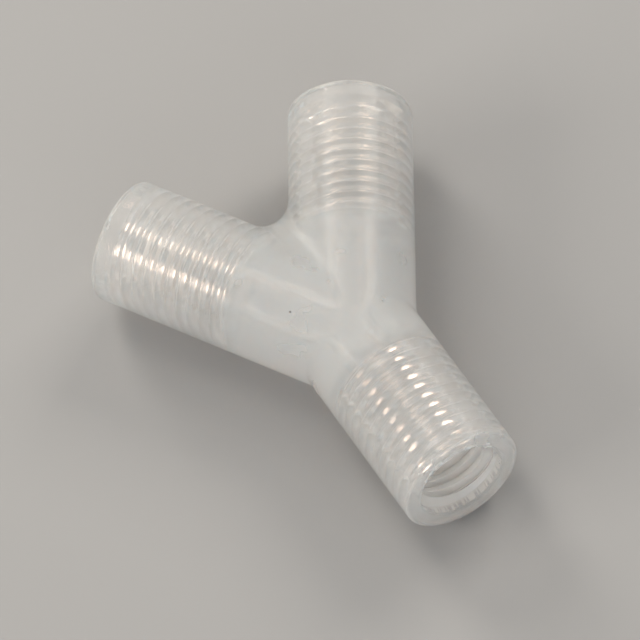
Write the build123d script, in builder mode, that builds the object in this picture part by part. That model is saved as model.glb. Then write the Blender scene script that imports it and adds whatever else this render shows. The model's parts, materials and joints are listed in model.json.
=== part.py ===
from build123d import *

import os
from math import cos, radians, sin, tan

# One-piece tubing Y connector: three plain round barrels that meet in a fork, each with a
# flat-bottomed female port for a threaded tube fitting, joined inside by a three-way passage.
# Frame: it lies on its side with all three axes level, +Z up, the stem towards -Y and the two
# branches towards +Y. The origin is on the surface it rests on, under the middle of its length.

# Driving dimensions, in millimetres and degrees
outer_diameter = 8.9           # of all three barrels
branch_length = 18.7           # junction of the axes to the mouth of a branch
stem_length = 14.7             # junction of the axes to the mouth of the stem
fork_angle = 60.0              # between the axes of the two branches
crotch_radius = 2.1            # blend in the fork, where the branches run into each other
mouth_edge_radius = 0.25       # round on the outer edge of each mouth

thread_major_diameter = 6.35   # 1/4-28 UNF internal thread
thread_pitch = 25.4 / 28
thread_core_allowance = 0.13   # the bore at the thread's crests is this much over its basic size
port_depth = 10.4              # mouth to the flat bottom, where a fitting seals
lead_in_clearance = 0.05       # smooth collar inside the mouth, outside the thread all round
lead_in_depth = 0.75           # mouth to the end of that collar
lead_in_cone_angle = 45.0      # half-angle of the cone that starts the thread
lip_chamfer = 0.2              # broken inner edge of each mouth
passage_diameter = 2.2         # flow passage from each port to the junction

# Worked out from them
outer_radius = outer_diameter / 2
passage_radius = passage_diameter / 2

# A 60-degree thread is 5/8 of its sharp triangle deep, which is 1.0825 pitches off the diameter
thread_core_diameter = thread_major_diameter - 1.0825 * thread_pitch + thread_core_allowance
thread_core_radius = thread_core_diameter / 2
lead_in_radius = thread_major_diameter / 2 + lead_in_clearance
lead_in_cone_length = (lead_in_radius - thread_core_radius) / tan(radians(lead_in_cone_angle))

# How far the branches reach along Y, to the highest point of their rounded mouth edges
half_fork = radians(fork_angle / 2)
branch_reach = (
    (branch_length - mouth_edge_radius) * cos(half_fork)
    + (outer_radius - mouth_edge_radius) * sin(half_fork)
    + mouth_edge_radius
)
junction = Vector(0, (stem_length - branch_reach) / 2, outer_radius)

# Each barrel: the heading of its axis in the level plane, and its length from the junction
barrels = {
    "stem": (-90.0, stem_length),
    "right_branch": (90.0 - fork_angle / 2, branch_length),
    "left_branch": (90.0 + fork_angle / 2, branch_length),
}


def outward(heading):
    """Unit vector along a barrel, from the junction to its mouth."""
    return Vector(cos(radians(heading)), sin(radians(heading)), 0)


def barrel_axis(heading):
    return Axis(junction, outward(heading))


def cross_plane(heading):
    """Plane square to a barrel at the junction, facing its mouth."""
    return Plane(origin=junction, x_dir=(0, 0, 1), z_dir=outward(heading))


def section_plane(heading, length):
    """Upright plane through a barrel's axis with its origin at the centre of the mouth: x is the
    distance from the axis, and y is the distance out of the mouth."""
    return Plane(
        origin=junction + outward(heading) * length,
        x_dir=(0, 0, 1),
        z_dir=Vector(0, 0, 1).cross(outward(heading)),
    )


with BuildPart() as connector_body:
    # Outside: three barrels run together, with sharp mitres where the stem meets each branch
    for heading, length in barrels.values():
        with BuildSketch(cross_plane(heading)):
            Circle(outer_radius)
        extrude(amount=length)

    # The fork: the crease between the branches runs over the top and under the bottom of the
    # body, and its blend narrows from full width in the fork to nothing at the junction
    crease = connector_body.edges().filter_by(GeomType.ELLIPSE).group_by(Axis.Y)[-1]
    fillet(crease, crotch_radius)

    # Mouths: the outer edge of each end face is rounded
    for heading, length in barrels.values():
        mouth = connector_body.faces().sort_by(barrel_axis(heading))[-1]
        fillet(mouth.edges(), mouth_edge_radius)

    # Inside: the space that one core pin leaves, from the mouth down to the junction, where the
    # three passages run together
    for heading, length in barrels.values():
        with BuildSketch(section_plane(heading, length)):
            with BuildLine():
                Polyline(
                    (0, 0),
                    (lead_in_radius + lip_chamfer, 0),
                    (lead_in_radius, -lip_chamfer),
                    (lead_in_radius, -lead_in_depth),
                    (thread_core_radius, -lead_in_depth - lead_in_cone_length),
                    (thread_core_radius, -port_depth),
                    (passage_radius, -port_depth),
                    (passage_radius, -length),
                    (0, -length),
                    close=True,
                )
            make_face()
        revolve(axis=barrel_axis(heading), mode=Mode.SUBTRACT)

connector_body.part.label = "connector_body"

os.makedirs("parts", exist_ok=True)
export_step(connector_body.part, "parts/connector_body.step")
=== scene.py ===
"""Tubing Y connector: the moulded body with its threads, its plastic, floor, light and camera."""

import json
import math

import bmesh
import bpy
import numpy as np
from mathutils import Matrix, Vector


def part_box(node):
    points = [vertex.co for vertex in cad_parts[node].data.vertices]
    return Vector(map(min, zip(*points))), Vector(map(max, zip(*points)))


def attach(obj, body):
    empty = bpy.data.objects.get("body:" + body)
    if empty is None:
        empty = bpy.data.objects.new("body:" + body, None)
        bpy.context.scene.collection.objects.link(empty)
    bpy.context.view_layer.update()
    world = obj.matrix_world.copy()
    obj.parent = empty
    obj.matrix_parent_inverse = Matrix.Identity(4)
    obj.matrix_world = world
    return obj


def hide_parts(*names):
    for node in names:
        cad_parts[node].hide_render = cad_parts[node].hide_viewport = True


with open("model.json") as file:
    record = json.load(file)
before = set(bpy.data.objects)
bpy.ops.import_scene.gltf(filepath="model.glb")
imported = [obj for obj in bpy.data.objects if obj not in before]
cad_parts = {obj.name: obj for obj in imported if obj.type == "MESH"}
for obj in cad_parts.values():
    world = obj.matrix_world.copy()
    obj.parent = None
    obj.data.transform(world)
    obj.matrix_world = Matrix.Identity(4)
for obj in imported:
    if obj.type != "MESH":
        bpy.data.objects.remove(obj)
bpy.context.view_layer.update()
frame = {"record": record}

MM = 0.001

# ---------------------------------------------------------------- sizes, from the frame
PORTS = {mount["name"]: mount for mount in frame["record"]["mounts"]}
BODY_LOW, BODY_HIGH = (np.array(corner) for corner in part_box("connector_body"))

OUTER_RADIUS = (BODY_HIGH[2] - BODY_LOW[2]) / 2
CORE_RADIUS = PORTS["stem_port"]["dims"]["r_mm"] * MM

# ---------------------------------------------------------------- sizes of the moulding
THREAD_PITCH = 25.4 * MM / 28
THREAD_MAJOR_RADIUS = 6.35 * MM / 2
ROOT_FLAT = THREAD_PITCH / 8
FLANK_SLOPE = math.tan(math.radians(30))

STEM_LENGTH = 14.7 * MM
BRANCH_LENGTH = 18.7 * MM
FORK_ANGLE = math.radians(60)
SIDE_GAP = (2 * math.pi - FORK_ANGLE) / 2
CROTCH_RADIUS = 2.1 * MM
MOUTH_EDGE_RADIUS = 0.25 * MM
LIP_RADIUS = 0.2 * MM
LEAD_IN_RADIUS = THREAD_MAJOR_RADIUS + 0.05 * MM
LEAD_IN_DEPTH = 0.75 * MM
PORT_DEPTH = 10.4 * MM
PASSAGE_RADIUS = 1.1 * MM

JUNCTION = np.array([0.0, BODY_LOW[1] + STEM_LENGTH, OUTER_RADIUS])
AHEAD = np.array([0.0, 1.0, 0.0])
UP = np.array([0.0, 0.0, 1.0])

# Turns worked out past a port's bottom, so that its thread reaches the bottom on every side.
SPARE_TURNS = 3

# An uneven start of a thread: the depth over which its groove comes in, and the waves round it,
# as (share of the groove, waves in a turn, shift in radians).
RAGGED_START = 1.1 * MM
RAGGED_WAVES = ((0.35, 5, 0.0), (0.2, 11, 1.0))

# ---------------------------------------------------------------- fineness of the mesh
AROUND = 192          # steps round every barrel; a multiple of four, so that seams share points
WALL_STEPS = 48
BLEND_STEPS = 20
ROUND_STEPS = 6
BOTTOM_STEPS = 4
PASSAGE_STEPS = 12
SHARP_ANGLE = math.radians(28)
SAME_POINT = 1e-4 * MM
SAME_DIRECTION = 1e-6

TURNS_ROUND = np.linspace(0, 2 * math.pi, AROUND + 1)

# ---------------------------------------------------------------- looks of the plastic
# Milk is the share of plain white in the surface, from 0 to 1.
WALL_MILK = 0.12
SOLID_MILK = 0.2
FACE_MILK = 0.2
INNER_MILK = 0.005
LOWER_MILK = 0.45
MILK_RAMP = 1.2 * MM          # along a barrel, half of it to either side of its port's bottom
BORE_MILK_RAMP = 1 / 3        # in bore radii, to either side of the axis

# Roughness in the bores, and outside over the thin walls and over the solid middle.
POLISH = 0.07
GLOSS = 0.18
SATIN = 0.25
UNEVENNESS = 0.6              # how far the waves vary the roughness outside, as a share of it
REFRACTION = 1.49

WAVES_A_METRE = 400.0
WAVE_HEIGHT = 0.02 * MM
SEAM_HALF_WIDTH = 0.05 * MM
SEAM_SHARE = 0.2              # of the height of a wave
SPECK_RADIUS = 0.07 * MM
SPECK_ALONG = 3.245 * MM
SPECK_TURN = math.radians(58.7)
SPECK_ROUGHNESS = 0.6

SCATTERS_A_METRE = 330.0
SCATTER_FORWARD = 0.3

NO_TINT = (1.0, 1.0, 1.0, 1.0)
DULL = (0.1, 0.1, 0.1, 1.0)
MILK_WHITE = (0.96, 0.95, 0.92, 1.0)
FAINT_BLUE = (0.70, 0.87, 1.0, 1.0)
DIRT_BLACK = (0.03, 0.03, 0.03, 1.0)

# ---------------------------------------------------------------- floor and lamps
FLOOR_HALF = 0.6
FLOOR_GREY = (0.31, 0.31, 0.31, 1.0)
FLOOR_ROUGHNESS = 0.6
LAMP_DISTANCE = 0.5
WARM = (1.0, 0.93, 0.84)
NEUTRAL = (1.0, 1.0, 1.0)


class Barrel:
    """One of the three barrels: its heading in the level plane, its length and the angles to the
    barrels on either side."""

    def __init__(self, heading, length, left_gap, right_gap):
        self.length = length
        self.gaps = (left_gap, right_gap)
        self.axis = np.array([math.cos(heading), math.sin(heading), 0.0])
        self.side = np.cross(UP, self.axis)

    def points(self, along, radius, turn):
        """Points this far along the axis and out from it, turned from the side towards up."""
        along, radius, turn = np.broadcast_arrays(along, radius, turn)
        out = np.cos(turn)[..., None] * self.side + np.sin(turn)[..., None] * UP
        return JUNCTION + along[..., None] * self.axis + radius[..., None] * out

    def start(self, radius, turn, blend=0.0):
        """Where a tube of this radius starts along the axis, at its mitre with the next barrel,
        or at the edge of the blend in the fork."""
        across = np.cos(turn)
        left, right = self.gaps
        gap = np.where(across > 0, left, right)
        reach = np.where(np.isclose(gap, FORK_ANGLE), radius + blend, radius)
        return reach * np.abs(across) / np.tan(gap / 2)


STEM = Barrel(-math.pi / 2, STEM_LENGTH, left_gap=SIDE_GAP, right_gap=SIDE_GAP)
RIGHT_BRANCH = Barrel(math.pi / 2 - FORK_ANGLE / 2, BRANCH_LENGTH, left_gap=FORK_ANGLE, right_gap=SIDE_GAP)
LEFT_BRANCH = Barrel(math.pi / 2 + FORK_ANGLE / 2, BRANCH_LENGTH, left_gap=SIDE_GAP, right_gap=FORK_ANGLE)
BARRELS = (STEM, RIGHT_BRANCH, LEFT_BRANCH)


# ---------------------------------------------------------------- surface patches
class Skin:
    """Collects grids of points, and makes one closed mesh of them."""

    def __init__(self):
        self.points = []
        self.faces = []
        self.milk = []
        self.outside = []

    def grid(self, rows, milk=INNER_MILK, outside=0.0):
        """Quads between each point of a grid and the next, where rows is (rows, columns, 3). The
        outside is 1 on what is seen from outside and 0 in the bores."""
        rows = np.asarray(rows)
        count, width = rows.shape[:2]
        first = sum(len(block) for block in self.points)
        index = first + np.arange(count * width).reshape(count, width)
        quads = np.stack([index[:-1, :-1], index[:-1, 1:], index[1:, 1:], index[1:, :-1]], axis=-1)
        self.points.append(rows.reshape(-1, 3))
        self.milk.append(np.broadcast_to(milk, (count, width)).ravel())
        self.outside.append(np.full(count * width, outside))
        self.faces.extend(quads.reshape(-1, 4).tolist())

    def piece(self, name):
        """The closed mesh, smooth but for its sharp edges, with its milk and its outside marked."""
        mesh = bpy.data.meshes.new(name)
        mesh.from_pydata(np.concatenate(self.points).tolist(), [], self.faces)
        for label, blocks in (("milk", self.milk), ("outside", self.outside)):
            marks = mesh.attributes.new(label, "FLOAT", "POINT")
            marks.data.foreach_set("value", np.concatenate(blocks))
        work = bmesh.new()
        work.from_mesh(mesh)
        bmesh.ops.remove_doubles(work, verts=work.verts, dist=SAME_POINT)
        bmesh.ops.dissolve_degenerate(work, edges=work.edges, dist=SAME_POINT)
        bmesh.ops.recalc_face_normals(work, faces=work.faces)
        for face in work.faces:
            face.smooth = True
        for edge in work.edges:
            if edge.is_manifold and edge.calc_face_angle() > SHARP_ANGLE:
                edge.smooth = False
        work.to_mesh(mesh)
        work.free()
        piece = bpy.data.objects.new(name, mesh)
        bpy.context.scene.collection.objects.link(piece)
        return piece


def shares(steps):
    """A column of even shares, from 0 to 1."""
    return np.linspace(0, 1, steps + 1)[:, None]


def outer_milk(rows):
    """How milky the outside looks: least over a port's thin wall, most over the solid middle."""
    past_bottom = [
        (np.asarray(rows) - JUNCTION) @ barrel.axis - (barrel.length - PORT_DEPTH) for barrel in BARRELS
    ]
    solid = np.clip(0.5 - np.max(past_bottom, axis=0) / MILK_RAMP, 0, 1)
    return WALL_MILK + (SOLID_MILK - WALL_MILK) * solid * solid * (3 - 2 * solid)


def bore_milk():
    """Milkier round the lower half of a bore, so that the thread near the eye, seen through the
    upper wall, isn't lost against the one behind it."""
    below = np.clip(0.5 - 0.5 * np.sin(TURNS_ROUND) / BORE_MILK_RAMP, 0, 1)
    return INNER_MILK + (LOWER_MILK - INNER_MILK) * below


def barrel_wall(skin, barrel):
    """The plain outside of a barrel, from the mitres and the fork to its rounded mouth edge."""
    start = barrel.start(OUTER_RADIUS, TURNS_ROUND, blend=CROTCH_RADIUS)
    end = barrel.length - MOUTH_EDGE_RADIUS
    rows = barrel.points(start + shares(WALL_STEPS) * (end - start), OUTER_RADIUS, TURNS_ROUND)
    skin.grid(rows, outer_milk(rows), 1.0)


def fork_blend(skin):
    """The path of a ball that rolls over the fork, in touch with both branches."""
    reach = OUTER_RADIUS + CROTCH_RADIUS
    turn = np.linspace(-math.pi / 2, math.pi / 2, AROUND // 2 + 1)
    across = np.cos(turn)[:, None]
    rise = np.sin(turn)[:, None] * UP
    centre = JUNCTION + reach * across / math.sin(FORK_ANGLE / 2) * AHEAD + reach * rise
    to_right = across * RIGHT_BRANCH.side + rise
    to_left = -across * LEFT_BRANCH.side + rise
    between = np.arccos(np.clip((to_right * to_left).sum(axis=1), -1, 1))
    alike = between < SAME_DIRECTION
    sine = np.where(alike, 1.0, np.sin(between))
    rows = []
    for share in np.linspace(0, 1, BLEND_STEPS + 1):
        weight_right = np.where(alike, 1 - share, np.sin((1 - share) * between) / sine)
        weight_left = np.where(alike, share, np.sin(share * between) / sine)
        normal = weight_right[:, None] * to_right + weight_left[:, None] * to_left
        rows.append(centre - CROTCH_RADIUS * normal)
    skin.grid(rows, outer_milk(rows), 1.0)


def arc(centre, radius, start, end):
    """Points of a profile's round from one angle to another, in degrees, as (distance from the
    axis, depth below the mouth)."""
    angles = np.radians(np.linspace(start, end, ROUND_STEPS + 1))
    return [(centre[0] + radius * math.cos(a), centre[1] + radius * math.sin(a)) for a in angles]


def turned(skin, barrel, profile, milk, outside):
    """A profile of (distance from the axis, depth below the mouth), turned round a barrel."""
    radius, depth = np.array(profile).T
    rows = barrel.points(barrel.length - depth[:, None], radius[:, None], TURNS_ROUND)
    skin.grid(rows, milk, outside)


def mouth(skin, barrel):
    """The end of a barrel: its rounded outer edge, flat end, rounded lip and lead-in collar."""
    edge = arc((OUTER_RADIUS - MOUTH_EDGE_RADIUS, MOUTH_EDGE_RADIUS), MOUTH_EDGE_RADIUS, 0, -90)
    lip = arc((LEAD_IN_RADIUS + LIP_RADIUS, LIP_RADIUS), LIP_RADIUS, -90, -180)
    collar = [lip[-1], (LEAD_IN_RADIUS, LEAD_IN_DEPTH)]
    turned(skin, barrel, edge + lip, FACE_MILK, 1.0)
    turned(skin, barrel, collar, bore_milk(), 0.0)


def thread_profile():
    """One pitch of the thread, as (share of the pitch, share of the groove's depth), from the
    middle of one crest to the end of the groove."""
    root = ROOT_FLAT / THREAD_PITCH
    flank = (THREAD_MAJOR_RADIUS - CORE_RADIUS) * FLANK_SLOPE / THREAD_PITCH
    crest = 1 - root - 2 * flank
    return np.array([
        (0.0, 0.0),
        (crest / 2, 0.0),
        (crest / 2 + flank, 1.0),
        (crest / 2 + flank + root, 1.0),
        (1 - crest / 2, 0.0),
    ])


def groove_share(place, profile):
    """How much of the groove's full depth is cut, 0 to 1, at a place measured in pitches."""
    whole = np.vstack([profile, [1.0, 0.0]])
    return np.interp(np.mod(place, 1.0), whole[:, 0], whole[:, 1])


def ragged_share(depth):
    """How much of the groove is there, 0 to 1, where a thread starts unevenly round its bore."""
    waves = sum(share * np.sin(count * TURNS_ROUND + shift) for share, count, shift in RAGGED_WAVES)
    return np.clip(depth / RAGGED_START + waves, 0, 1)


def threaded_wall(skin, barrel, ragged):
    """The wall of a port from its lead-in collar to its flat bottom. Its right-hand groove comes
    nearer to the mouth by a pitch in each turn, and a 45 degree cone leads in to the crests.
    Gives back the radius at which the wall ends."""
    profile = thread_profile()
    run = PORT_DEPTH - LEAD_IN_DEPTH
    turns = math.ceil(run / THREAD_PITCH) + SPARE_TURNS
    places = (np.arange(turns)[:, None] + profile[:, 0]).ravel()
    places = np.append(places, turns)[:, None]
    turned_by = TURNS_ROUND / (2 * math.pi)
    depth = np.clip((places - turned_by) * THREAD_PITCH, 0, run)
    share = groove_share(depth / THREAD_PITCH + turned_by, profile)
    if ragged:
        share = share * ragged_share(depth)
    groove = CORE_RADIUS + (THREAD_MAJOR_RADIUS - CORE_RADIUS) * share
    cone = LEAD_IN_RADIUS - depth
    radius = np.maximum(groove, cone)
    skin.grid(barrel.points(barrel.length - LEAD_IN_DEPTH - depth, radius, TURNS_ROUND), bore_milk())
    return radius[-1]


def port_bottom(skin, barrel, wall_radius):
    """The flat bottom of a port, from the end of its threaded wall to the passage."""
    radius = wall_radius + shares(BOTTOM_STEPS) * (PASSAGE_RADIUS - wall_radius)
    skin.grid(barrel.points(barrel.length - PORT_DEPTH, radius, TURNS_ROUND))


def passage(skin, barrel):
    """The flow passage from a port's bottom to its mitre with the other two."""
    start = barrel.start(PASSAGE_RADIUS, TURNS_ROUND)
    end = barrel.length - PORT_DEPTH
    skin.grid(barrel.points(end + shares(PASSAGE_STEPS) * (start - end), PASSAGE_RADIUS, TURNS_ROUND))


def moulded_body():
    """The whole connector: three barrels, their ports and passages, and the blend in the fork."""
    skin = Skin()
    for barrel in BARRELS:
        barrel_wall(skin, barrel)
        mouth(skin, barrel)
        wall_radius = threaded_wall(skin, barrel, ragged=barrel is RIGHT_BRANCH)
        port_bottom(skin, barrel, wall_radius)
        passage(skin, barrel)
    fork_blend(skin)
    return skin.piece("moulded_body")


body = moulded_body()
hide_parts("connector_body")
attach(body, "root")


# ---------------------------------------------------------------- materials
class Sock:
    """An output of a shader node. Sums, products and the like on it add Math nodes."""

    def __init__(self, shader, socket):
        self.shader = shader
        self.socket = socket

    def math(self, operation, *others):
        return self.shader.node("Math", {"operation": operation}, self, *others)

    def __add__(self, other):
        return self.math("ADD", other)

    def __mul__(self, other):
        return self.math("MULTIPLY", other)

    def __sub__(self, other):
        return self.math("SUBTRACT", other)

    def __rsub__(self, other):
        return self.shader.node("Math", {"operation": "SUBTRACT"}, other, self)

    __radd__ = __add__
    __rmul__ = __mul__


class Shader:
    """The node tree of a material or of the world."""

    def __init__(self, owner):
        owner.use_nodes = True
        self.tree = owner.node_tree
        self.tree.nodes.clear()

    def node(self, kind, settings=None, *inputs, output=0, **named):
        """Adds a node: its settings first, then the values or links of its sockets."""
        node = self.tree.nodes.new("ShaderNode" + kind)
        for name, value in (settings or {}).items():
            setattr(node, name, value)
        for place, value in list(enumerate(inputs)) + list(named.items()):
            key = place if isinstance(place, int) else place.replace("_", " ")
            target = node.inputs[key]
            if isinstance(value, Sock):
                self.tree.links.new(value.socket, target)
            else:
                target.default_value = value
        return Sock(self, node.outputs[output]) if len(node.outputs) else None

    def finish(self, **outputs):
        """Adds the node that the material or the world ends in."""
        kind = "OutputWorld" if isinstance(self.tree.id_data, bpy.types.World) else "OutputMaterial"
        self.node(kind, **outputs)


def natural_polypropylene():
    """Milky translucent plastic, milkier where it is thick, with a faint moulded waviness, a
    mould seam round the level plane and one dark speck."""
    material = bpy.data.materials.new("natural_polypropylene")
    shader = Shader(material)
    milk = shader.node("Attribute", {"attribute_name": "milk"}, output=2)
    outside = shader.node("Attribute", {"attribute_name": "outside"}, output=2)
    place = shader.node("TexCoord", output=3)

    height = shader.node("SeparateXYZ", Vector=place, output=2)
    waves = shader.node("TexNoise", Vector=place, Scale=WAVES_A_METRE, Detail=2.0)
    from_seam = (height - float(JUNCTION[2])).math("ABSOLUTE")
    seam = (1.0 - from_seam * (1 / SEAM_HALF_WIDTH)).math("MAXIMUM", 0.0)
    relief = waves + seam * SEAM_SHARE
    bump = shader.node("Bump", Strength=1.0, Distance=WAVE_HEIGHT, Height=relief)

    satin = shader.node(
        "MapRange", Value=milk, From_Min=WALL_MILK, From_Max=SOLID_MILK, To_Min=GLOSS, To_Max=SATIN
    )
    satin = satin * (waves * UNEVENNESS + (1 - UNEVENNESS / 2))

    def clear_plastic(roughness, **gloss):
        return shader.node(
            "BsdfPrincipled",
            Base_Color=NO_TINT,
            Roughness=roughness,
            IOR=REFRACTION,
            Transmission_Weight=1.0,
            Normal=bump,
            **gloss,
        )

    bore = clear_plastic(POLISH)
    skin = clear_plastic(satin, Specular_Tint=DULL)
    milky = shader.node(
        "BsdfPrincipled",
        Base_Color=MILK_WHITE,
        Roughness=satin,
        IOR=REFRACTION,
        Specular_Tint=DULL,
        Normal=bump,
    )
    dirt = shader.node("BsdfPrincipled", Base_Color=DIRT_BLACK, Roughness=SPECK_ROUGHNESS)

    speck = tuple(LEFT_BRANCH.points(SPECK_ALONG, OUTER_RADIUS, SPECK_TURN))
    from_speck = shader.node("VectorMath", {"operation": "DISTANCE"}, place, speck, output=1)
    surface = shader.node("MixShader", None, outside, bore, skin)
    surface = shader.node("MixShader", None, milk, surface, milky)
    surface = shader.node("MixShader", None, from_speck.math("LESS_THAN", SPECK_RADIUS), surface, dirt)
    volume = shader.node(
        "VolumeScatter", Color=FAINT_BLUE, Density=SCATTERS_A_METRE, Anisotropy=SCATTER_FORWARD
    )
    shader.finish(Surface=surface, Volume=volume)
    return material


def pale_floor():
    """A plain matt grey, which the lamps bring up to a pale one."""
    material = bpy.data.materials.new("pale_floor")
    shader = Shader(material)
    shader.finish(Surface=shader.node("BsdfPrincipled", Base_Color=FLOOR_GREY, Roughness=FLOOR_ROUGHNESS))
    return material


body.data.materials.append(natural_polypropylene())


# ---------------------------------------------------------------- floor, light and camera
def floor():
    """A level square that the connector lies on."""
    corners = [(-1, -1, 0), (1, -1, 0), (1, 1, 0), (-1, 1, 0)]
    mesh = bpy.data.meshes.new("floor")
    mesh.from_pydata([Vector(corner) * FLOOR_HALF for corner in corners], [], [(0, 1, 2, 3)])
    mesh.materials.append(pale_floor())
    piece = bpy.data.objects.new("floor", mesh)
    piece.location.z = BODY_LOW[2]
    bpy.context.scene.collection.objects.link(piece)


def heading_to(azimuth, elevation):
    """Unit vector from the object towards a viewer or a lamp; azimuth 0 is towards -Y."""
    a, e = math.radians(azimuth), math.radians(elevation)
    return Vector((math.sin(a) * math.cos(e), -math.cos(a) * math.cos(e), math.sin(e)))


def softbox(name, azimuth, elevation, width, height, brightness, colour):
    """A flat lamp that faces the object; its brightness is that of its face, where 1 is white."""
    light = bpy.data.lights.new(name, "AREA")
    light.shape = "RECTANGLE"
    light.size = width
    light.size_y = height
    light.energy = brightness * math.pi * width * height
    light.color = colour
    lamp = bpy.data.objects.new(name, light)
    back = heading_to(azimuth, elevation)
    lamp.location = Vector(JUNCTION) + back * LAMP_DISTANCE
    lamp.rotation_mode = "QUATERNION"
    lamp.rotation_quaternion = (-back).to_track_quat("-Z", "Y")
    bpy.context.scene.collection.objects.link(lamp)


def room(strength):
    """Even white light from all round."""
    world = bpy.data.worlds.new("studio")
    bpy.context.scene.world = world
    shader = Shader(world)
    shader.finish(Surface=shader.node("Background", Color=NO_TINT, Strength=strength))


def camera(azimuth, elevation, roll, distance, aim_right, aim_up, lens):
    """A long lens aimed beside the junction of the barrels, to its right and above it by these
    amounts, with the camera's top leaning right by the roll."""
    back = heading_to(azimuth, elevation)
    level = Vector((math.cos(math.radians(azimuth)), math.sin(math.radians(azimuth)), 0.0))
    upright = back.cross(level)
    right = level * math.cos(math.radians(roll)) - upright * math.sin(math.radians(roll))
    up = back.cross(right)
    data = bpy.data.cameras.new("camera")
    data.lens = lens
    data.sensor_width = 36.0
    data.clip_start = 0.01
    item = bpy.data.objects.new("camera", data)
    item.rotation_mode = "QUATERNION"
    item.rotation_quaternion = Matrix((right, up, back)).transposed().to_quaternion()
    item.location = Vector(JUNCTION) + back * distance + right * aim_right + up * aim_up
    bpy.context.scene.collection.objects.link(item)
    bpy.context.scene.camera = item


floor()
softbox("left", azimuth=-100, elevation=26, width=0.28, height=0.18, brightness=9.0, colour=WARM)
softbox("right", azimuth=113, elevation=36, width=0.22, height=0.18, brightness=9.0, colour=WARM)
softbox("back", azimuth=-178, elevation=30, width=0.16, height=0.28, brightness=8.0, colour=WARM)
softbox("top", azimuth=-165, elevation=65, width=0.16, height=0.16, brightness=5.0, colour=WARM)
softbox("front", azimuth=-20, elevation=15, width=0.60, height=0.40, brightness=1.4, colour=NEUTRAL)
room(strength=0.42)
camera(
    azimuth=-20.92,
    elevation=55.48,
    roll=11.59,
    distance=447.3 * MM,
    aim_right=-2.30 * MM,
    aim_up=0.96 * MM,
    lens=362.1,
)

bpy.context.scene.view_settings.view_transform = "Standard"

# Light crosses many walls, and scatters often between them, before it comes out.
bpy.context.scene.cycles.max_bounces = 48
bpy.context.scene.cycles.volume_bounces = 24
bpy.context.scene.cycles.transmission_bounces = 48
bpy.context.scene.cycles.glossy_bounces = 16
